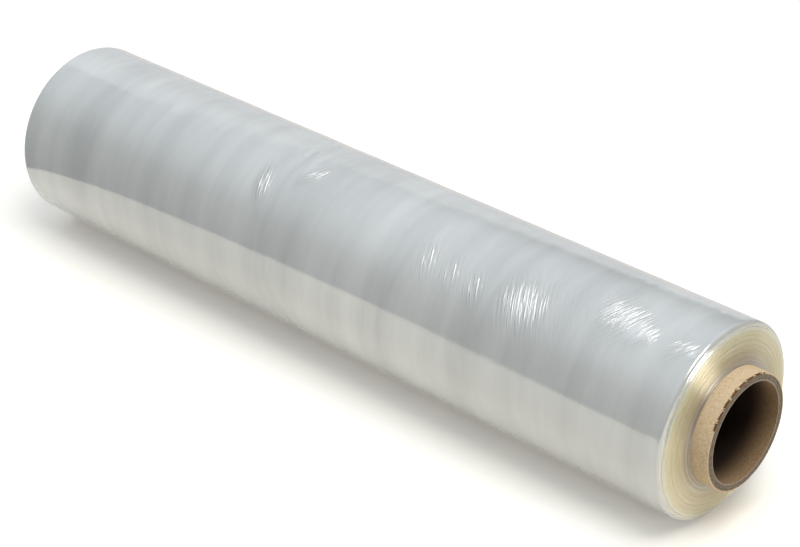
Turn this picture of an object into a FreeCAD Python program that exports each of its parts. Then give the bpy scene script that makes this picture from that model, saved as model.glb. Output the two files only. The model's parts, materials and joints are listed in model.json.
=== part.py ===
"""Stretch wrap roll: clear stretch film wound on a paper tube, lying on its side on a small flat.

Frame: X along the roll's axis, +X out of the end whose tube has the torn outer ply. +Z is up. The origin is
the middle of the footprint, on the surface that the roll lies on. Millimetres.

Two pieces. The core is a spirally wound paper tube, cut square, with its plies showing at both cut ends. The
film is one wound solid: its turns show at both ends as groups that stand a little in or out of line, and its
outside carries the shallow bands that uneven film thickness winds into a roll.
"""
import FreeCAD, Part
import math
import os

Vector = FreeCAD.Vector

# Paper tube
CORE_BORE_RADIUS = 25.5
CORE_WALL = 4.0
CORE_STUB = 12.0           # how far the tube stands out past the rim of the film, at each end
CORE_PLIES = 6             # paper plies that the cut end shows
PLY_STEP = 0.2             # alternate plies are cut this much shorter

# Torn outer ply on the +X end of the tube
TEAR_START_DEG = 58.0      # measured from +Y towards +Z
TEAR_SPAN_DEG = 96.0
TEAR_NICKS = 9             # stretches of the tear, each torn to its own depth
TEAR_DEPTH = 1.3           # the deepest stretch
TEAR_UNEVEN = 0.45         # share of the depth by which the stretches differ, either way
TEAR_PHASE = 2.3           # radians from one stretch to the next, which sets their order of depths
NICK_START_DEG = 284.0     # a single nick, low on the other side
NICK_SPAN_DEG = 9.0

# Wound film
FILM_WIDTH = 450.0
FILM_BUILD = 20.5          # thickness of the wound film over the tube
TURN_GROUPS = 12           # groups of turns that show as rings at each end
TURN_RIPPLE = 0.22         # how far a group stands out past the one that stands least
TURN_PHASE = 2.1           # radians from one group to the next, which sets their order
END_PHASE = 0.9            # radians by which each end's groups are out of step
END_BULGE = 2.4            # how far the turns next to the tube stand out past the rim
BULGE_POWER = 1.4          # over 1, the bulge gathers towards the tube
RIM_RADIUS = 0.9           # the outermost turns round off by this much
RIM_FACETS = 2             # flats that the rounding is made of
RIM_SETBACK = 0.8          # the outermost group of turns lies this far behind the next
BAND_COUNT = 4             # bands along the width of the film, with a hollow in the middle of each
BAND_DEPTH = 0.16          # the deepest hollow
BAND_UNEVEN = 0.35         # share of the depth by which the hollows differ, either way
BAND_PHASE = 1.9           # radians from one band's edge to its middle, which sets their order of depths
FLAT_DEPTH = 0.6           # the roll's own weight flattens it by this much

# Sizes that follow
CORE_RADIUS = CORE_BORE_RADIUS + CORE_WALL
FILM_RADIUS = CORE_RADIUS + FILM_BUILD
CORE_LENGTH = FILM_WIDTH + 2 * CORE_STUB
AXIS_HEIGHT = FILM_RADIUS - FLAT_DEPTH
RING_WIDTH = (FILM_BUILD - RIM_RADIUS) / TURN_GROUPS
PLY_WIDTH = CORE_WALL / CORE_PLIES

X_AXIS = Vector(1, 0, 0)
ORIGIN = Vector(0, 0, 0)


def profile_point(x, radius):
    """A point of a half section, which lies in the XY plane beside the roll's axis."""
    return Vector(x, radius, 0)


def turned(edges, angle=360):
    """The solid of a closed half section turned about the roll's axis, from +Y towards +Z."""
    face = Part.Face(Part.Wire(edges))
    return face.revolve(ORIGIN, X_AXIS, angle)


def straight_edges(points):
    """Straight edges through the points in order."""
    return [Part.makeLine(a, b) for a, b in zip(points, points[1:])]


def torn_piece(start_deg, span_deg, depth):
    """What is missing from the tube's outer ply over an arc of its +X end."""
    end_x = CORE_LENGTH / 2 + PLY_STEP
    start_x = CORE_LENGTH / 2 - depth
    inner = CORE_RADIUS - PLY_WIDTH
    outer = CORE_RADIUS + PLY_WIDTH
    corners = [profile_point(start_x, inner), profile_point(end_x, inner),
               profile_point(end_x, outer), profile_point(start_x, outer)]
    piece = turned(straight_edges(corners + corners[:1]), span_deg)
    piece.rotate(ORIGIN, X_AXIS, start_deg)
    return piece


def cut_end(side):
    """Half section of the tube's cut end, from the bore outwards: alternate plies are a little shorter."""
    points = []
    for ply in range(CORE_PLIES):
        x = side * (CORE_LENGTH / 2 - PLY_STEP * (ply % 2))
        points.append(profile_point(x, CORE_BORE_RADIUS + ply * PLY_WIDTH))
        points.append(profile_point(x, CORE_BORE_RADIUS + (ply + 1) * PLY_WIDTH))
    return points


def make_core():
    """The paper tube, with its torn outer ply."""
    outline = cut_end(1) + cut_end(-1)[::-1]
    core = turned(straight_edges(outline + outline[:1]))
    nick_span = TEAR_SPAN_DEG / TEAR_NICKS
    for nick in range(TEAR_NICKS):
        depth = TEAR_DEPTH * (1 - TEAR_UNEVEN + TEAR_UNEVEN * math.sin(TEAR_PHASE * nick))
        core = core.cut(torn_piece(TEAR_START_DEG + nick * nick_span, nick_span, depth))
    return core.cut(torn_piece(NICK_START_DEG, NICK_SPAN_DEG, TEAR_DEPTH))


def film_end(side):
    """Half section of the film's end, from the tube outwards: each group of turns is one ring.

    The rings ride on a gentle bulge towards the tube, and some stand further out than others.
    """
    points = []
    for ring in range(TURN_GROUPS):
        nearness = 1 - ring / (TURN_GROUPS - 1)
        bulge = END_BULGE * nearness ** BULGE_POWER
        ripple = TURN_RIPPLE * (1 + math.sin(TURN_PHASE * ring + END_PHASE * side)) / 2
        setback = RIM_SETBACK if ring == TURN_GROUPS - 1 else 0
        x = side * (FILM_WIDTH / 2 + bulge + ripple - setback)
        points.append(profile_point(x, CORE_RADIUS + ring * RING_WIDTH))
        points.append(profile_point(x, CORE_RADIUS + (ring + 1) * RING_WIDTH))
    for facet in range(1, RIM_FACETS):
        angle = math.pi / 2 * facet / RIM_FACETS
        points.append(profile_point(x - side * RIM_RADIUS * (1 - math.cos(angle)),
                                    FILM_RADIUS - RIM_RADIUS * (1 - math.sin(angle))))
    return points


def film_outside():
    """Profile of the film's outside, from the +X end on: each band has a hollow of its own depth."""
    length = FILM_WIDTH - 2 * (RIM_RADIUS + RIM_SETBACK)
    spacing = length / (2 * BAND_COUNT)
    points = []
    for station in range(2 * BAND_COUNT + 1):
        hollow = 0
        if station % 2 == 1:
            hollow = BAND_DEPTH * (1 - BAND_UNEVEN + BAND_UNEVEN * math.sin(BAND_PHASE * station))
        points.append(profile_point(length / 2 - station * spacing, FILM_RADIUS - hollow))
    return points


def make_film():
    """The wound film, flattened where the roll lies."""
    outline = film_end(1) + film_outside() + film_end(-1)[::-1]
    film = turned(straight_edges(outline + outline[:1]))
    below = 2 * FLAT_DEPTH
    slab = Part.makeBox(2 * CORE_LENGTH, 2 * FILM_RADIUS, below,
                        Vector(-CORE_LENGTH, -FILM_RADIUS, -AXIS_HEIGHT - below))
    flattened = film.cut(slab)
    if flattened.Volume >= film.Volume:
        raise ValueError("the flat that the roll lies on was not cut")
    return flattened


def write(node, shape):
    """Stands the shape on the surface that the roll lies on, and writes it."""
    shape.translate(Vector(0, 0, AXIS_HEIGHT))
    solids = shape.Solids
    if len(solids) != 1 or not shape.isValid():
        raise ValueError(f"{node} has {len(solids)} solids, valid {shape.isValid()}")
    solids[0].exportStep(f"parts/{node}.step")
    box = shape.BoundBox
    print(f"{node}: {box.XLength:.2f} x {box.YLength:.2f} x {box.ZLength:.2f} mm, "
          f"{solids[0].Volume / 1000:.1f} cm3")


os.makedirs("parts", exist_ok=True)
write("paper_core", make_core())
write("wound_film", make_film())
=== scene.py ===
# %% [markdown]
# # A roll of stretch wrap, dressed for the camera
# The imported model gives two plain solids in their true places: a paper tube, and the film wound on it.
# This script builds both again with the detail that the eye looks for, gives them their finishes, and
# sets a small studio round them. Lengths are in metres. X runs along the roll, Z is up, and the roll
# lies on Z = 0.

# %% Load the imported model
import json
import math
import random
import bmesh
import bpy
from mathutils import Matrix, Quaternion, Vector
from mathutils.noise import noise as noise_at


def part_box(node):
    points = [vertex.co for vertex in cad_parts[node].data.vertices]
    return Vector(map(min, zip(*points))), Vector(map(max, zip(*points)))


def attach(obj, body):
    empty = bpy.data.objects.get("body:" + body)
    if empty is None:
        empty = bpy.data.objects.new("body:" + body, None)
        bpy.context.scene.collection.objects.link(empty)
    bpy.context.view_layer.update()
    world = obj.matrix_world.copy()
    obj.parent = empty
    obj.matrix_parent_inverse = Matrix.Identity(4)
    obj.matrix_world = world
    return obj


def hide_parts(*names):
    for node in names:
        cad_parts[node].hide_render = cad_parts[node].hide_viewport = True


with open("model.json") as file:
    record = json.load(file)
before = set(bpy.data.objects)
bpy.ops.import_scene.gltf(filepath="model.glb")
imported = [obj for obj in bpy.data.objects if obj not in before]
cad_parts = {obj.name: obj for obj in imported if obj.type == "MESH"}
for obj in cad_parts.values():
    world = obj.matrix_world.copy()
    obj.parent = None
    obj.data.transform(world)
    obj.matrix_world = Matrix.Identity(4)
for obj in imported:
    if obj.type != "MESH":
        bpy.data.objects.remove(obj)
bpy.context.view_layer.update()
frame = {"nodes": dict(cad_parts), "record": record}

MM = 0.001
print("CAD nodes:", sorted(frame["nodes"]))

# %% [markdown]
# ## Sizes
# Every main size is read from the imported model, so the dressed pieces can't drift away from the solids.
# Only the small things that the solids leave out, such as the torn fringe of the paper, are given here
# as sizes of their own.

# %% Read the driving sizes from the solids
film_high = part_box("wound_film")[1]
core_low, core_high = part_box("paper_core")
mounts = {mount["name"]: mount for mount in frame["record"]["mounts"]}
AXIS_HEIGHT = (core_low.z + core_high.z) / 2
FILM_RADIUS = film_high.z - AXIS_HEIGHT
CORE_RADIUS = (core_high.z - core_low.z) / 2
BORE_RADIUS = mounts["core_bore"]["dims"]["r_mm"] * MM
CORE_LENGTH = core_high.x - core_low.x
CORE_STUB = 12 * MM
FILM_WIDTH = CORE_LENGTH - 2 * CORE_STUB
print(f"film {FILM_RADIUS / MM:.2f} mm radius, {FILM_WIDTH / MM:.1f} mm wide, "
      f"tube {CORE_RADIUS / MM:.2f} mm radius")

# %% [markdown]
# ## Working by hand, from code
# Each piece starts as a primitive and is shaped in edit mode with the same operators that a person
# would click. The operators act on whatever is selected, so two helpers do the selecting: one clears
# the stage before a new primitive, and one picks faces, edges or corners by a test on their place.

# %% Helpers for starting and selecting
ON_SURFACE = 0.1 * MM       # corners this near a radius count as lying on it
SMOOTH_UP_TO = math.radians(24)


def deselect():
    """Nothing selected and nothing active, so that the next operator starts clean."""
    bpy.ops.object.select_all(action="DESELECT")
    bpy.context.view_layer.objects.active = None


def pick(piece, kind, wanted):
    """In edit mode, selects the FACE, EDGE or VERT items that pass the test. Returns how many."""
    bpy.ops.mesh.select_mode(type=kind)
    bpy.ops.mesh.select_all(action="DESELECT")
    shape = bmesh.from_edit_mesh(piece.data)
    items = {"FACE": shape.faces, "EDGE": shape.edges, "VERT": shape.verts}[kind]
    chosen = [item for item in items if wanted(item)]
    for item in chosen:
        item.select_set(True)
    shape.select_flush_mode()
    bmesh.update_edit_mesh(piece.data)
    return len(chosen)


def radius_of(point):
    """How far a point is from the roll's axis."""
    return math.hypot(point.y, point.z - AXIS_HEIGHT)


def angle_of(point):
    """The angle of a point about the roll's axis in degrees, from +Y towards +Z."""
    return math.degrees(math.atan2(point.z - AXIS_HEIGHT, point.y)) % 360


def lying_cylinder(name, sides, radius, length):
    """A closed cylinder along X, centred on the roll's axis."""
    deselect()
    bpy.ops.mesh.primitive_cylinder_add(vertices=sides, radius=radius, depth=length, end_fill_type="NGON",
                                        location=(0, 0, AXIS_HEIGHT), rotation=(0, math.pi / 2, 0))
    piece = bpy.context.active_object
    piece.name = piece.data.name = name
    bpy.ops.object.transform_apply(location=True, rotation=True, scale=True)
    return piece


def pick_end(piece, side):
    """Selects the outermost face of one end, which is the widest face that looks along X."""
    shape = bmesh.from_edit_mesh(piece.data)
    ends = [face for face in shape.faces if face.normal.x * side > 0.99 and len(face.verts) > 8]
    index = max(ends, key=lambda face: face.calc_center_median().x * side).index
    return pick(piece, "FACE", lambda face: face.index == index)


def step_in(width, along):
    """Insets the selected end face by a width, and then slides what is inside along X."""
    bpy.ops.mesh.inset(thickness=width, use_even_offset=True)
    bpy.ops.transform.translate(value=(along, 0, 0))


def open_through(piece):
    """Turns a bored cylinder's two innermost end faces into one bore that runs through it."""
    for side in (1, -1):
        pick_end(piece, side)
        bpy.ops.mesh.delete(type="ONLY_FACE")
    pick(piece, "EDGE", lambda edge: edge.is_boundary)
    bpy.ops.mesh.bridge_edge_loops()

# %% [markdown]
# ## The wound film: rings at its ends
# A real roll has thousands of turns. Their edges never line up quite, so the end shows groups of turns
# as rings that stand a little in or out, on a gentle bulge towards the tube. A cylinder's end face is
# inset again and again: a narrow inset with a slide makes the step, and a wide one makes the ring.
# Insets keep the rings truly concentric.

# %% Turn groups
FILM_SIDES = 128
TURN_GROUPS = 22
RIM_SETBACK = 0.6 * MM      # the outermost group lies this far behind the next
RIM_ROUNDING = 2.2 * MM
STEP_WIDTH = 0.3 * MM       # the slope between two rings
TURN_RIPPLE = 0.16 * MM     # from the ring that stands least to the one that stands most
RIPPLE_PHASE = 2.4          # radians from one ring to the next, which sets their order
SECOND_RIPPLE = 0.6         # share of the first wave that a second one adds
SECOND_PHASE = 5.1
WIDTH_UNEVEN = 0.6          # share by which the rings' widths differ, either way
WIDTH_PHASE = 3.7
END_BULGE = 2.2 * MM
BULGE_POWER = 1.4
FILM_BUILD = FILM_RADIUS - CORE_RADIUS


def ring_place(ring):
    """How far out a ring stands past the rim's neighbour: the bulge, and a ripple of its own."""
    nearness = ring / (TURN_GROUPS - 1)
    waves = math.sin(RIPPLE_PHASE * ring) + SECOND_RIPPLE * math.sin(SECOND_PHASE * ring)
    ripple = TURN_RIPPLE * waves / (2 * (1 + SECOND_RIPPLE))
    return END_BULGE * nearness ** BULGE_POWER + ripple


shares = [1 + WIDTH_UNEVEN * math.sin(WIDTH_PHASE * ring) for ring in range(TURN_GROUPS)]
free_width = FILM_BUILD - RIM_ROUNDING - (TURN_GROUPS - 1) * STEP_WIDTH
ring_widths = [free_width * share / sum(shares) for share in shares]
film = lying_cylinder("film_roll", FILM_SIDES, FILM_RADIUS, FILM_WIDTH - 2 * RIM_SETBACK)
bpy.ops.object.mode_set(mode="EDIT")
for side in (1, -1):
    pick_end(film, side)
    step_in(RIM_ROUNDING + ring_widths[0], 0)
    place = -RIM_SETBACK
    for ring in range(1, TURN_GROUPS):
        step_in(STEP_WIDTH, side * (ring_place(ring) - place))
        step_in(ring_widths[ring], 0)
        place = ring_place(ring)
open_through(film)
print("film faces after the ends:", len(bmesh.from_edit_mesh(film.data).faces))
bpy.ops.object.mode_set(mode="OBJECT")

# %% [markdown]
# ## The wound film: its outside
# Light shows every small unevenness of a glossy film, so the outside needs real shape. The long faces
# are divided along the roll only, because the unevenness runs round it. The rim is rounded with a bevel
# first, since its edges are easy to find while the side is still one long face.

# %% Round the rims and divide the side
RIM_SEGMENTS = 6
FIRST_CUTS = 99             # each long face first becomes 100 faces
SECOND_CUTS = 5             # and each of those becomes 6
SHORT_EDGE = 1 * MM         # the rim's own edges are shorter than this

bpy.ops.object.mode_set(mode="EDIT")
pick(film, "EDGE", lambda edge: all(radius_of(v.co) > FILM_RADIUS - ON_SURFACE for v in edge.verts)
     and edge.verts[0].co.x * edge.verts[1].co.x > 0)
bpy.ops.mesh.bevel(offset=RIM_ROUNDING, segments=RIM_SEGMENTS, profile=0.5)


def long_edge(edge):
    """True for an edge of the outside that runs along the roll."""
    first, second = edge.verts
    outside = min(radius_of(first.co), radius_of(second.co)) > FILM_RADIUS - ON_SURFACE
    return outside and abs(first.co.x - second.co.x) > SHORT_EDGE


for cuts in (FIRST_CUTS, SECOND_CUTS):
    chosen = pick(film, "EDGE", long_edge)
    bpy.ops.mesh.subdivide(number_cuts=cuts)
    print("long edges divided:", chosen)
bpy.ops.object.mode_set(mode="OBJECT")
print("film faces:", len(film.data.polygons))

# %% [markdown]
# ## The wound film: bands, ridges and creases
# Film is never the same thickness across its width, and over thousands of turns the difference adds up
# to bands that run round the roll. Finer ridges come from the film being stretched as it was wound.
# Both are cloud noise drawn out along the turns: an empty squeezed along X gives the noise its
# coordinates. Every push is inwards from the largest radius, so the film stays within its solid.

# %% Noise that runs round the roll
# name, and in mm the length of its features along the roll and round it, and the depth of the push
UNEVENNESS = [("gauge_bands", 32, 300, 0.34), ("soft_bands", 11, 120, 0.11),
              ("winding_ridges", 3.2, 60, 0.022)]
LEAST_WEIGHT = 0.001


def drawn_out_noise(piece, name, length_along, length_round, depth, group):
    """Pushes the group's corners inwards by cloud noise, drawn out round the roll, and applies it."""
    bpy.ops.object.empty_add(location=(0, 0, AXIS_HEIGHT))
    guide = bpy.context.active_object
    guide.scale = (length_along, length_round, length_round)
    bpy.context.view_layer.update()
    clouds = bpy.data.textures.new(name, "CLOUDS")
    clouds.noise_scale = 1.0
    clouds.noise_depth = 1
    push = piece.modifiers.new(name, "DISPLACE")
    push.texture = clouds
    push.texture_coords = "OBJECT"
    push.texture_coords_object = guide
    push.direction = "NORMAL"
    push.mid_level = 1.0
    push.strength = depth
    push.vertex_group = group
    deselect()
    bpy.context.view_layer.objects.active = piece
    piece.select_set(True)
    bpy.ops.object.modifier_apply(modifier=name)
    bpy.data.objects.remove(guide)


def paint_group(piece, name, weight_at):
    """A vertex group whose weights come from a function of the corner's place."""
    group = piece.vertex_groups.new(name=name)
    for corner in piece.data.vertices:
        weight = weight_at(corner.co)
        if weight > LEAST_WEIGHT:
            group.add([corner.index], weight, "REPLACE")
    return name


def smooth(value):
    """0 up to 0, 1 from 1, and a smooth rise between them."""
    value = min(max(value, 0), 1)
    return value * value * (3 - 2 * value)


OUTSIDE = paint_group(film, "outside", lambda p: 1.0 if radius_of(p) > FILM_RADIUS - RIM_ROUNDING else 0.0)
for name, along, around, depth in UNEVENNESS:
    drawn_out_noise(film, name, along * MM, around * MM, depth * MM, OUTSIDE)
radii = [radius_of(v.co) for v in film.data.vertices]
print(f"film radius now {max(radii) / MM:.2f} mm at most")

# %% [markdown]
# Creases are single events: a fold of air was trapped, or the film was pulled to one side. Each has its
# own place, width and depth, and wanders a little as it goes round.

# %% Creases at their own places
# place along the roll, width, depth and slant in mm, then the middle and the spread in degrees of its part
# of the turn
CREASES = [(-210, 3.0, 0.06, 2, 120, 200), (-201, 2.2, 0.06, -2, 130, 200), (-172, 4.0, 0.07, 3, 120, 180),
           (-160, 2.6, 0.09, 2, 130, 180), (-135, 3.0, 0.08, -3, 110, 150), (-111, 2.4, 0.07, 4, 140, 150),
           (-84, 3.4, 0.07, 3, 120, 150), (-35, 2.2, 0.20, 9, 150, 260), (-29, 3.0, 0.24, 10, 140, 260),
           (-46, 4.0, 0.12, 8, 120, 70), (129, 2.4, 0.14, 4, 140, 90), (176, 2.6, 0.14, 16, 118, 80),
           (184, 2.4, 0.16, 18, 118, 80), (213, 2.2, 0.12, 6, 130, 140)]
WANDER = 0.6                # mm that a crease wanders to either side of its slanted line
WANDER_TURN = 17            # degrees of the turn for each radian of the wander
FARTHEST = 3                # a crease fades to nothing this many widths away
RIM_MARGIN = 1.5 * RIM_ROUNDING


def crease_weight(point, crease):
    """How much of a crease's depth a point gets."""
    place, width, depth, slant, turn_middle, turn_spread = crease
    turn = (angle_of(point) - turn_middle + 180) % 360 - 180
    wander = slant * turn / 90 + WANDER * math.sin(turn / WANDER_TURN + place)
    off = (point.x / MM - place - wander) / width
    if abs(off) > FARTHEST or radius_of(point) < FILM_RADIUS - RIM_MARGIN:
        return 0
    fade = smooth(1.5 - abs(turn) / (turn_spread / 2))
    return math.exp(-off * off) * fade


def press_in(piece, name, weights, depth):
    """Presses a vertex group inwards by a plain displacement, and applies it."""
    push = piece.modifiers.new(name, "DISPLACE")
    push.mid_level = 0.0
    push.strength = -depth
    push.vertex_group = weights
    deselect()
    bpy.context.view_layer.objects.active = piece
    piece.select_set(True)
    bpy.ops.object.modifier_apply(modifier=name)


for number, crease in enumerate(CREASES):
    weights = paint_group(film, f"crease_{number}", lambda p: crease_weight(p, crease))
    press_in(film, f"crease_{number}", weights, crease[2] * MM)
print("creases pressed in:", len(CREASES))

# %% [markdown]
# The roll's own weight presses a small flat where it lies. A bisect at the surface cuts the film there
# and fills the cut, as a knife would.

# %% The flat where the roll lies
film.vertex_groups.clear()
bpy.ops.object.mode_set(mode="EDIT")
bpy.ops.mesh.select_all(action="SELECT")
bpy.ops.mesh.bisect(plane_co=(0, 0, 0), plane_no=(0, 0, 1), clear_inner=True, use_fill=True)
bpy.ops.object.mode_set(mode="OBJECT")
bpy.ops.object.shade_smooth_by_angle(angle=SMOOTH_UP_TO)
print("film faces at the end:", len(film.data.polygons))

# %% [markdown]
# ## The paper tube
# The tube is wound from strips of paperboard glued on a slant, then cut to length with a knife. The cut
# end shows the plies, and the knife has torn the outer ply over part of the circle. The tube is a
# cylinder whose end faces are inset ply by ply and then bridged to open the bore. The tear is made by
# pulling corners of the outer ply back, each by its own seeded amount.

# %% Build the tube
TUBE_SIDES = 360
PLIES = 6
PLY_STEP = 0.2 * MM
PLY_GAP = 0.06 * MM
ply_width = (CORE_RADIUS - BORE_RADIUS) / PLIES

tube = lying_cylinder("paper_tube", TUBE_SIDES, CORE_RADIUS, CORE_LENGTH - 2 * PLY_STEP)
bpy.ops.object.mode_set(mode="EDIT")
for side in (1, -1):
    pick_end(tube, side)
    bpy.ops.mesh.inset(thickness=ply_width - PLY_GAP)
    for ply in range(1, PLIES):
        step_in(PLY_GAP, side * PLY_STEP * (1 if ply % 2 else -1))
        bpy.ops.mesh.inset(thickness=ply_width - PLY_GAP)
open_through(tube)
bpy.ops.object.mode_set(mode="OBJECT")
print("tube faces:", len(tube.data.polygons))

# %% Tear the outer ply
TEAR_FROM, TEAR_TO = 61, 166
TEAR_DEPTH = 1.5 * MM
TEAR_RISE, TEAR_FALL = 18, 30       # degrees over which the tear deepens at its start and ends
NICK_MIDDLE, NICK_HALF = 288, 5
NICK_SHARE = 0.8            # depth of the single nick, as a share of the tear's
LONG_BITES, SHORT_BITES = 13, 4     # degrees from one bite of the tear to the next, in two sizes
LONG_SHARE, SHORT_SHARE = 0.55, 0.6
SHALLOWEST = 0.05 * MM      # corners are left alone where the tear would be shallower
draw = random.Random(7)


def tear_depth(turn):
    """How far the outer ply is torn back at an angle, before the fibres' own unevenness."""
    inside = smooth((turn - TEAR_FROM) / TEAR_RISE) * smooth((TEAR_TO - turn) / TEAR_FALL)
    ragged = (0.5 + LONG_SHARE * noise_at((turn / LONG_BITES, 0, 0))
              + SHORT_SHARE * noise_at((turn / SHORT_BITES, 5, 0)))
    nick = smooth(1 - abs(turn - NICK_MIDDLE) / NICK_HALF)
    return TEAR_DEPTH * max(inside * ragged, NICK_SHARE * nick, 0)


end_x = CORE_LENGTH / 2 - PLY_STEP
for corner in tube.data.vertices:
    turn = angle_of(corner.co)
    in_outer_ply = radius_of(corner.co) > CORE_RADIUS - ply_width + PLY_GAP / 2
    if corner.co.x > end_x - PLY_STEP and in_outer_ply:
        depth = tear_depth(round(turn))
        if depth > SHALLOWEST:
            corner.co.x -= depth * draw.uniform(0.65, 1.25)
deselect()
bpy.context.view_layer.objects.active = tube
tube.select_set(True)
bpy.ops.object.shade_smooth_by_angle(angle=SMOOTH_UP_TO)

# %% [markdown]
# The tear leaves slivers of kraft paper standing at the edge. Each sliver is a small plane, divided,
# narrowed towards its tip, curled and given a thickness. They stand round the torn part, each with its
# own seeded size and curl.

# %% Slivers of torn paper
SLIVERS = 34
SLIVER_THICKNESS = 0.14 * MM
SLIVER_TAPER = 0.75         # share of its width that a sliver loses towards its tip
SLIVER_SINK = 0.25 * MM     # how far below the tube's outside a sliver's foot lies
FOOT_DEPTH = 0.2 * MM       # how far behind the torn edge its foot starts
END_MARGIN = 0.05 * MM      # its tip stays this far behind the tube's end


def sliver(turn, width, length, lift):
    """One sliver: its foot on the torn edge at an angle, its tip curled inwards by lift."""
    deselect()
    bpy.ops.mesh.primitive_plane_add(size=1)
    piece = bpy.context.active_object
    bpy.ops.object.mode_set(mode="EDIT")
    bpy.ops.mesh.subdivide(number_cuts=3)
    bpy.ops.object.mode_set(mode="OBJECT")
    foot_x = CORE_LENGTH / 2 - PLY_STEP - tear_depth(turn) - FOOT_DEPTH
    for corner in piece.data.vertices:
        along = corner.co.x + 0.5
        across = corner.co.y * (1 - SLIVER_TAPER * along ** 1.5)
        radius = CORE_RADIUS - SLIVER_SINK - lift * along * along
        place = math.radians(turn) + across * width / radius
        corner.co = Vector((min(foot_x + along * length, CORE_LENGTH / 2 - END_MARGIN),
                            radius * math.cos(place), AXIS_HEIGHT + radius * math.sin(place)))
    thick = piece.modifiers.new("paper", "SOLIDIFY")
    thick.thickness = SLIVER_THICKNESS
    thick.offset = 0
    bpy.ops.object.modifier_apply(modifier="paper")
    return piece


slivers = []
for number in range(SLIVERS):
    turn = TEAR_FROM + 8 + (TEAR_TO - TEAR_FROM - 22) * (number + draw.random()) / SLIVERS
    slivers.append(sliver(turn, draw.uniform(0.5, 2.6) * MM, draw.uniform(0.5, 1.5) * MM,
                          draw.uniform(-0.1, 0.7) * MM))
deselect()
for piece in slivers:
    piece.select_set(True)
bpy.context.view_layer.objects.active = slivers[0]
bpy.ops.object.join()
fringe = bpy.context.active_object
fringe.name = fringe.data.name = "torn_fringe"
bpy.ops.object.transform_apply(location=True, rotation=True, scale=True)
print("sliver faces:", len(fringe.data.polygons))

# %% [markdown]
# ## Finishes
# A helper adds one node with its settings and its links, and another turns the hex colour that a paint
# chart would give into the linear light that the shader works in.

# %% Helpers for finishes
def from_hex(code):
    """An sRGB colour such as "d2b996" as linear red, green, blue and alpha."""
    parts = [int(code[start:start + 2], 16) / 255 for start in (0, 2, 4)]
    return [c / 12.92 if c <= 0.04045 else ((c + 0.055) / 1.055) ** 2.4 for c in parts] + [1]


def add_node(material, kind, settings=None, links=None):
    """One node: settings by attribute or input name, links from input name to an output socket."""
    node = material.node_tree.nodes.new(kind)
    for name, value in (settings or {}).items():
        if isinstance(name, str) and hasattr(node, name):
            setattr(node, name, value)
        else:
            node.inputs[name].default_value = value
    for name, socket in (links or {}).items():
        material.node_tree.links.new(socket, node.inputs[name])
    return node


def new_finish(name):
    """An empty material with nodes, and its output."""
    material = bpy.data.materials.new(name)
    material.use_nodes = True
    material.node_tree.nodes.clear()
    return material, material.node_tree.nodes.new("ShaderNodeOutputMaterial")


def object_place(material, scale=(1, 1, 1), turn=(0, 0, 0)):
    """Object coordinates centred on the roll's axis, scaled."""
    place = add_node(material, "ShaderNodeTexCoord")
    centred = add_node(material, "ShaderNodeVectorMath", {"operation": "SUBTRACT", 1: (0, 0, AXIS_HEIGHT)},
                       {0: place.outputs["Object"]})
    return add_node(material, "ShaderNodeMapping", {"Scale": scale, "Rotation": turn},
                    {"Vector": centred.outputs[0]}).outputs[0]


def noise(material, place, detail=2, roughness=0.5):
    """Noise at one feature per unit of the place."""
    return add_node(material, "ShaderNodeTexNoise", {"Scale": 1, "Detail": detail, "Roughness": roughness},
                    {"Vector": place}).outputs["Fac"]


def ramp(material, value, stops):
    """A colour ramp: stops are (position, hex colour)."""
    node = add_node(material, "ShaderNodeValToRGB", {}, {"Fac": value})
    while len(node.color_ramp.elements) < len(stops):
        node.color_ramp.elements.new(0.5)
    for element, (position, code) in zip(node.color_ramp.elements, stops):
        element.position = position
        element.color = from_hex(code)
    return node.outputs["Color"]

# %% [markdown]
# Stretch film is cast or blown linear low density polyethylene, clear and glossy. Wound up, thousands
# of clear layers with air between them look pearly: part of the light is scattered back white, and part
# is mirrored as by a stack of glass. So the finish is a pale grey that lets a little light in, with a
# strong clear gloss over it. A small metallic share stands for the stack's mirroring, which one clear
# surface can't give. Where the film was brushed as it was wound, slanted strokes catch the overhead
# light as white streaks, and the strokes are also painted whiter into the colour as a painted highlight.

# %% Film outside
# place along the roll in mm, place in degrees of the turn, half sizes across and along the streaks in mm,
# slant in degrees and relief in mm
BRUSHED_PATCHES = [(-47, 127, 5, 12, -18, 1.3), (-23, 110, 5, 10, 24, 1.3), (68, 129, 8, 12, -22, 0.7),
                   (84, 131, 8, 10, -22, 0.7), (100, 133, 7, 9, -24, 0.8), (129, 130, 14, 18, -24, 1.1),
                   (178, 114, 15, 13, 26, 1.2), (192, 118, 8, 8, 28, 1.0), (213, 117, 7, 9, 34, 1.0),
                   (150, 124, 70, 26, -22, 0.25)]
# painted highlight: the white that the brushed strokes are painted towards
PAINTED_GLINT_WHITE = "f4f5f3"
FINE_RIDGE = 1.1 * MM
FINE_RIDGE_LENGTH = 38 * MM
FINE_RIDGE_HEIGHT = 0.028   # mm
HAZE, HAZE_LENGTH = 22 * MM, 160 * MM
STROKE_WIDTH, STROKE_LENGTH = 1.1, 20       # mm
PATCH_DEPTH = 60 * MM       # patches are this deep, so the curve of the outside stays within them


def multiply(material, first, second):
    """The product of two sockets, or of a socket and a number."""
    node = add_node(material, "ShaderNodeMath", {"operation": "MULTIPLY"}, {0: first})
    if isinstance(second, (int, float)):
        node.inputs[1].default_value = second
    else:
        material.node_tree.links.new(second, node.inputs[1])
    return node.outputs[0]


def add_up(material, values):
    """The sum of several sockets."""
    total = values[0]
    for value in values[1:]:
        total = add_node(material, "ShaderNodeMath", {"operation": "ADD"}, {0: total, 1: value}).outputs[0]
    return total


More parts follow.
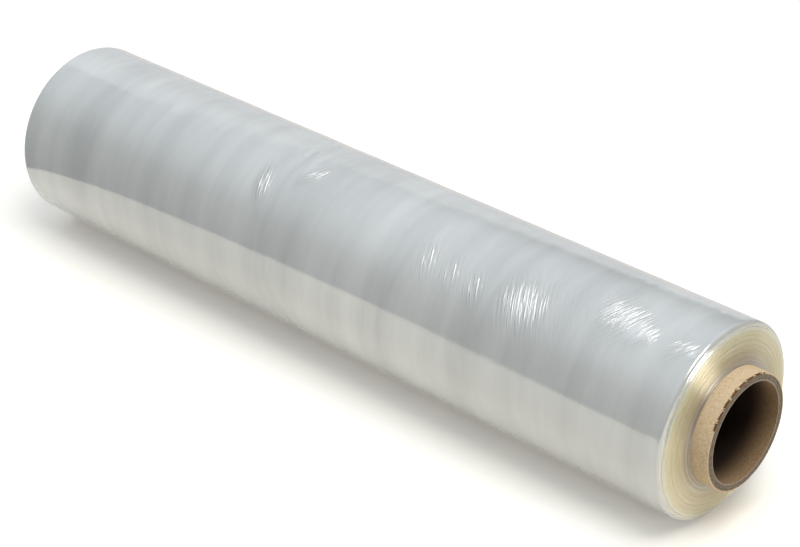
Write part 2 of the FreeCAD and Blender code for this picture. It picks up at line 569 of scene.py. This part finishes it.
def brushed_patch(material, centred, patch):
    """Height in mm of one patch of slanted streaks, fading out from its middle."""
    place, turn, across, along, slant, height = patch
    turn = math.radians(turn)
    lean = Matrix.Rotation(turn + math.pi / 2, 3, "X") @ Matrix.Rotation(math.radians(slant), 3, "Z")
    middle_point = Vector((place * MM, FILM_RADIUS * math.cos(turn), FILM_RADIUS * math.sin(turn)))
    local = add_node(material, "ShaderNodeMapping",
                     {"vector_type": "TEXTURE", "Location": middle_point, "Rotation": lean.to_euler("XYZ"),
                      "Scale": (across * MM, along * MM, PATCH_DEPTH)}, {"Vector": centred}).outputs[0]
    reach = add_node(material, "ShaderNodeVectorMath", {"operation": "LENGTH"}, {0: local}).outputs["Value"]
    fade = add_node(material, "ShaderNodeMapRange",
                    {"interpolation_type": "SMOOTHSTEP", "From Min": 1.5, "From Max": 0.2},
                    {"Value": reach}).outputs[0]
    strokes = add_node(material, "ShaderNodeMapping",
                       {"Scale": (across / STROKE_WIDTH, along / STROKE_LENGTH, 0.5)}, {"Vector": local})
    streaks = noise(material, strokes.outputs[0])
    return multiply(material, multiply(material, fade, streaks), height)


def film_outside_finish():
    """Clear stretch film, wound: pearly under a gloss that streaks round the roll."""
    material, output = new_finish("wound_lldpe_film_glossy")
    haze = noise(material, object_place(material, (1 / HAZE, 1 / HAZE_LENGTH, 1 / HAZE_LENGTH)), 4, 0.6)
    colour = ramp(material, haze, [(0.3, "bab7b0"), (0.7, "d0cdc5")])
    ridge_scale = (1 / FINE_RIDGE, 1 / FINE_RIDGE_LENGTH, 1 / FINE_RIDGE_LENGTH)
    ridges = noise(material, object_place(material, ridge_scale), 3, 0.6)
    centred = object_place(material)
    brushed = add_up(material, [brushed_patch(material, centred, patch) for patch in BRUSHED_PATCHES])
    height = add_up(material, [multiply(material, ridges, FINE_RIDGE_HEIGHT), brushed])
    relief = add_node(material, "ShaderNodeBump", {"Distance": MM}, {"Height": height}).outputs[0]
    # painted highlight: where the brushed strokes stand high, the colour is painted towards white
    painted_glint_share = add_node(material, "ShaderNodeMapRange", {"From Min": 0.5, "From Max": 1.1, "To Max": 0.4},
                   {"Value": brushed}).outputs[0]
    colour = add_node(material, "ShaderNodeMix", {"data_type": "RGBA", "B": from_hex(PAINTED_GLINT_WHITE)},
                      {0: painted_glint_share, 6: colour}).outputs[2]
    shader = add_node(material, "ShaderNodeBsdfPrincipled",
                      {"Roughness": 0.16, "IOR": 1.51, "Metallic": 0.17, "Coat Weight": 1.0,
                       "Coat Roughness": 0.04, "Coat IOR": 1.6, "Subsurface Weight": 0.2,
                       "Subsurface Radius": (1, 1, 1), "Subsurface Scale": 2 * MM},
                      {"Base Color": colour, "Normal": relief, "Coat Normal": relief})
    material.node_tree.links.new(shader.outputs[0], output.inputs["Surface"])
    return material


# %% Film ends
def film_end_finish():
    """Edges of many turns: creamy, since light goes far in there, and mirroring across the turns."""
    material, output = new_finish("wound_lldpe_film_edges")
    place = object_place(material, (0, 1 / MM, 1 / MM))
    reach = add_node(material, "ShaderNodeVectorMath", {"operation": "LENGTH"}, {0: place}).outputs["Value"]
    share = add_node(material, "ShaderNodeMapRange",
                     {"From Min": CORE_RADIUS / MM, "From Max": FILM_RADIUS / MM},
                     {"Value": reach}).outputs[0]
    # darker grey-brown by the tube and cream across the end; the near-white at the rim is a painted
    # highlight
    colour = ramp(material, share, [(0.0, "b0a698"), (0.3, "c5b48d"), (0.7, "dccfa6"), (0.9, "e6e1cc"),
                                    (1.0, "efeee8")])
    rings = add_node(material, "ShaderNodeTexNoise", {"noise_dimensions": "1D", "Scale": 1.1, "Detail": 3},
                     {"W": reach}).outputs["Fac"]
    relief = add_node(material, "ShaderNodeBump", {"Distance": MM}, {"Height": rings}).outputs[0]
    shader = add_node(material, "ShaderNodeBsdfPrincipled",
                      {"Metallic": 0.42, "Roughness": 0.42, "Anisotropic": 1.0, "IOR": 1.51,
                       "Specular IOR Level": 1.0, "Coat Weight": 1.0, "Coat Roughness": 0.15,
                       "Subsurface Weight": 0.4, "Subsurface Radius": (1, 0.9, 0.6),
                       "Subsurface Scale": 4 * MM},
                      {"Base Color": colour, "Normal": relief, "Coat Normal": relief, "Tangent": place})
    material.node_tree.links.new(shader.outputs[0], output.inputs["Surface"])
    return material


BORE_SHADE_DEPTH = 16 * MM      # painted shade: the bore's paper darkens from its mouth to this far in


def paper_finish(name, dark, light, fibre=0.5, relief_depth=0.06, deep=None):
    """Paperboard: matte, with short fibres and faint mottling, and a painted shade that darkens the bore
    inwards if given.
    """
    material, output = new_finish(name)
    mottle = noise(material, object_place(material, (1 / (fibre * MM),) * 3), 5, 0.65)
    colour = ramp(material, mottle, [(0.3, dark), (0.7, light)])
    # painted shade: deeper into the bore the colour goes over to the dark one
    if deep:
        along = add_node(material, "ShaderNodeSeparateXYZ", {}, {0: object_place(material)}).outputs["X"]
        depth = add_node(material, "ShaderNodeMapRange",
                         {"interpolation_type": "SMOOTHSTEP", "From Min": CORE_LENGTH / 2,
                          "From Max": CORE_LENGTH / 2 - BORE_SHADE_DEPTH},
                         {"Value": add_node(material, "ShaderNodeMath", {"operation": "ABSOLUTE"},
                                            {0: along}).outputs[0]}).outputs[0]
        colour = add_node(material, "ShaderNodeMix", {"data_type": "RGBA", "B": from_hex(deep)},
                          {0: depth, 6: colour}).outputs[2]
    fine = noise(material, object_place(material, (1 / (0.9 * fibre * MM),) * 3), 4, 0.7)
    relief = add_node(material, "ShaderNodeBump", {"Distance": relief_depth * MM, "Strength": 0.8},
                      {"Height": fine}).outputs[0]
    shader = add_node(material, "ShaderNodeBsdfPrincipled",
                      {"Roughness": 0.85, "IOR": 1.45, "Specular IOR Level": 0.3},
                      {"Base Color": colour, "Normal": relief})
    material.node_tree.links.new(shader.outputs[0], output.inputs["Surface"])
    return material


# %% Give each face its finish
def dress(piece, finishes, choose):
    """Adds the finishes to a piece and gives each face the one that choose names by number."""
    for finish in finishes:
        piece.data.materials.append(finish)
    for face in piece.data.polygons:
        face.material_index = choose(face)


def film_face(face):
    """0 on the outside and 1 on the ends."""
    at_end = abs(face.center.x) > FILM_WIDTH / 2 - RIM_SETBACK - 0.3 * MM
    return 1 if at_end and abs(face.normal.x) > 0.5 else 0


def tube_face(face):
    """0 on the outer ply, 1 on cut ends, 2 in the bore, 3 on the inmost ply's cut edge, 4 on the tear."""
    radius = radius_of(face.center)
    if radius < BORE_RADIUS + 0.3 * MM and abs(face.normal.x) < 0.5:
        return 2
    if abs(face.center.x) < CORE_LENGTH / 2 - 3 * MM:
        return 0
    if radius < BORE_RADIUS + ply_width - PLY_GAP:
        return 3
    if radius < CORE_RADIUS - ply_width:
        return 1
    torn = face.center.x > 0 and tear_depth(angle_of(face.center)) > 0.25 * MM
    return 4 if torn else 0


# warm brown, the only strong colour on the roll
kraft = paper_finish("kraft_paper_outer_ply", "bea17b", "dbc4a2", 1.1)
# darker and greyer, since the cut lays the ends of the fibres open
cut_board = paper_finish("paperboard_cut_end", "4e4136", "998973", 0.9, 0.12)
# painted shade: dark deep inside the tube, lighter near its mouth
bore_board = paper_finish("paperboard_bore", "8a6c4c", "a98a66", 0.9, deep="33251b")
# a thin pale line round the bore's mouth
liner_edge = paper_finish("paperboard_liner_cut_edge", "7c7062", "a99b89", 0.5, 0.1)
# the torn fibres' brown, painted darker as shade in the gap under the torn ply: a dark ragged line between
# the outer ply and the cut end
torn_fibres_and_shade = paper_finish("torn_kraft_fibres_and_shade", "3c2717", "8c6038", 0.35, 0.12)
dress(film, [film_outside_finish(), film_end_finish()], film_face)
dress(tube, [kraft, cut_board, bore_board, liner_edge, torn_fibres_and_shade], tube_face)
# a quarter of the slivers, by their place, show the ply's own face; the rest are torn fibres, painted
# darker as shade
dress(fringe, [torn_fibres_and_shade, kraft], lambda face: 1 if round(angle_of(face.center) / 3) % 4 == 0 else 0)

for piece, slot_name, node in ((film, "stretch_film", "wound_film"), (tube, "paperboard", "paper_core"),
                               (fringe, "paperboard", "paper_core")):
    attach(piece, "root")
    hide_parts(node)

# %% [markdown]
# ## The studio
# A wide pale floor, a large soft light overhead, a small one low down beyond the torn end, and a room
# in one cool colour that is dim at eye level. A glossy roll is a picture of the room round it, so what
# stands where matters as much as how bright it is. The overhead light draws the white streaks on the
# outside, which are also painted into the film's colour as a painted highlight, and the low one draws the
# white wedge across the rings of the end.

# %% Floor, world and lights
FLOOR_SIZE = 14
FLOOR_LIFT = 0.22


def make_floor():
    """A wide, plain, pale floor."""
    deselect()
    bpy.ops.mesh.primitive_plane_add(size=FLOOR_SIZE)
    floor = bpy.context.active_object
    floor.name = "floor"
    material, output = new_finish("studio_floor_matte")
    rays = add_node(material, "ShaderNodeLightPath")
    seen = add_node(material, "ShaderNodeMath", {"operation": "MAXIMUM"},
                    {0: rays.outputs["Is Camera Ray"], 1: rays.outputs["Is Glossy Ray"]}).outputs[0]
    seen = add_node(material, "ShaderNodeMath", {"operation": "MAXIMUM"},
                    {0: seen, 1: rays.outputs["Is Transmission Ray"]}).outputs[0]
    lift = multiply(material, seen, FLOOR_LIFT)
    shader = add_node(material, "ShaderNodeBsdfPrincipled",
                      {"Base Color": from_hex("f4eee3"), "Roughness": 0.9, "Specular IOR Level": 0.0,
                       "Emission Color": from_hex("fffbf3")}, {"Emission Strength": lift})
    material.node_tree.links.new(shader.outputs[0], output.inputs["Surface"])
    floor.data.materials.append(material)


def soft_light(name, place, aim, width, height, radiance, roll=0):
    """A rectangular soft light that faces a point, rolled by degrees. The radiance is that of its face."""
    lamp = bpy.data.lights.new(name, "AREA")
    lamp.shape = "RECTANGLE"
    lamp.size, lamp.size_y = width, height
    lamp.energy = radiance * math.pi * width * height
    holder = bpy.data.objects.new(name, lamp)
    bpy.context.collection.objects.link(holder)
    holder.location = place
    facing = (Vector(aim) - Vector(place)).to_track_quat("-Z", "Y")
    holder.rotation_euler = (facing @ Quaternion((0, 0, 1), math.radians(roll))).to_euler()


ROOM_COLOUR = "c4d2e1"
HORIZON, CEILING = 0.48, 1.5
UNLIT_SIDE = 0.25           # share of the room's light that comes from beyond the torn end
RISE_FROM, RISE_TO = 0.25, 0.9      # the room brightens between these values of a direction's Z
SIDE_FROM, SIDE_TO = -0.2, 0.6      # and dims between these values of its X


def make_world():
    """A room in one colour, dim at eye level, brighter overhead and dimmest beyond the torn end."""
    world = bpy.data.worlds.new("studio")
    bpy.context.scene.world = world
    world.use_nodes = True
    direction = add_node(world, "ShaderNodeTexCoord").outputs["Object"]
    parts = add_node(world, "ShaderNodeSeparateXYZ", {}, {0: direction}).outputs
    rise = add_node(world, "ShaderNodeMapRange",
                    {"interpolation_type": "SMOOTHSTEP", "From Min": RISE_FROM, "From Max": RISE_TO,
                     "To Min": HORIZON, "To Max": CEILING}, {"Value": parts["Z"]}).outputs[0]
    sideways = add_node(world, "ShaderNodeMapRange",
                        {"interpolation_type": "SMOOTHSTEP", "From Min": SIDE_FROM, "From Max": SIDE_TO,
                         "To Min": 1.0, "To Max": UNLIT_SIDE}, {"Value": parts["X"]}).outputs[0]
    strength = multiply(world, rise, sideways)
    background = world.node_tree.nodes["Background"]
    background.inputs["Color"].default_value = from_hex(ROOM_COLOUR)
    world.node_tree.links.new(strength, background.inputs["Strength"])


make_world()
make_floor()
ROLL_MIDDLE = (0, 0, AXIS_HEIGHT)
TORN_END = (CORE_LENGTH / 2, 0, AXIS_HEIGHT)
soft_light("key", (0.6, -0.15, 1.85), ROLL_MIDDLE, width=1.2, height=1.2, radiance=5.6)
soft_light("end_light", (1.34, 0.37, 0.20), TORN_END, width=0.3, height=0.26, radiance=16)

# %% [markdown]
# The roll mirrors where a pale table ends, and the slanting edge of a pale backdrop behind it. Two low
# cards in the room's colour stand where the table ends. Two more lie on the floor behind, so that the
# film's upper edge doesn't mirror the bright floor, and a slanting soft light stands behind them. The
# cards are there for reflections only: no camera sees them, and they cast no shadow.

# %% Cards and the backdrop light
CARD_HEIGHT = 0.09
CARD_LIFT = 1 * MM
PALE_GREY = "e8e8e6"
TABLE_CORNER = (-0.205, -0.395)


def card_finish(colour, strength):
    """A plain evenly lit card."""
    material, output = new_finish("matte_card")
    glow = add_node(material, "ShaderNodeEmission", {"Color": from_hex(colour), "Strength": strength})
    material.node_tree.links.new(glow.outputs[0], output.inputs["Surface"])
    return material


def low_card(name, start, end):
    """A low upright card between two places on the floor, seen only in reflections."""
    middle_place = (Vector(start) + Vector(end)) / 2
    run = Vector(end) - Vector(start)
    deselect()
    bpy.ops.mesh.primitive_plane_add(size=1, location=(middle_place.x, middle_place.y, CARD_HEIGHT / 2),
                                     rotation=(math.pi / 2, 0, math.atan2(run.y, run.x)))
    card = bpy.context.active_object
    card.name = name
    card.scale = (run.length, CARD_HEIGHT, 1)
    card.data.materials.append(card_finish(ROOM_COLOUR, HORIZON))
    card.visible_camera = card.visible_diffuse = card.visible_shadow = False


def lying_card(name, low, high, strength):
    """A card that lies on the floor between two corners, seen only in reflections."""
    deselect()
    middle = ((low[0] + high[0]) / 2, (low[1] + high[1]) / 2, CARD_LIFT)
    bpy.ops.mesh.primitive_plane_add(size=1, location=middle)
    card = bpy.context.active_object
    card.name = name
    card.scale = (high[0] - low[0], high[1] - low[1], 1)
    card.data.materials.append(card_finish(PALE_GREY, strength))
    card.visible_camera = card.visible_diffuse = card.visible_shadow = False


low_card("card_near", TABLE_CORNER, (1.6, -0.395))
low_card("card_left", TABLE_CORNER, (-0.282, -0.07))
lying_card("card_behind", (-2.6, 0.08), (1.2, 0.9), 0.88)
lying_card("card_far", (-6.9, 0.9), (1.2, 6.9), 0.28)
soft_light("backdrop", (-2.66, 0.9, 0.47), (-2.66, 0, 0.47), width=4.5, height=3.0, radiance=0.4, roll=45)

# %% [markdown]
# ## The camera
# A long lens looks down on the roll from its near end, to the left of its axis.

# %% Place the camera
VIEW_AZIMUTH = math.radians(43.01)
VIEW_ELEVATION = math.radians(29.80)
LENS_IN_FRAME_WIDTHS = 2218.3 / 800
FILM_GATE = 36              # mm
CAMERA_PLACE = (0.6966, -0.7245, 0.6162)
camera_data = bpy.data.cameras.new("camera")
camera = bpy.data.objects.new("camera", camera_data)
bpy.context.collection.objects.link(camera)
camera_data.sensor_width = FILM_GATE
camera_data.lens = FILM_GATE * LENS_IN_FRAME_WIDTHS
camera.location = CAMERA_PLACE
forward = Vector((-math.sin(VIEW_AZIMUTH) * math.cos(VIEW_ELEVATION),
                  math.cos(VIEW_AZIMUTH) * math.cos(VIEW_ELEVATION), -math.sin(VIEW_ELEVATION)))
camera.rotation_euler = forward.to_track_quat("-Z", "Y").to_euler()
camera_data.clip_start, camera_data.clip_end = 0.05, 50
bpy.context.scene.camera = camera
bpy.context.scene.view_settings.view_transform = "Standard"
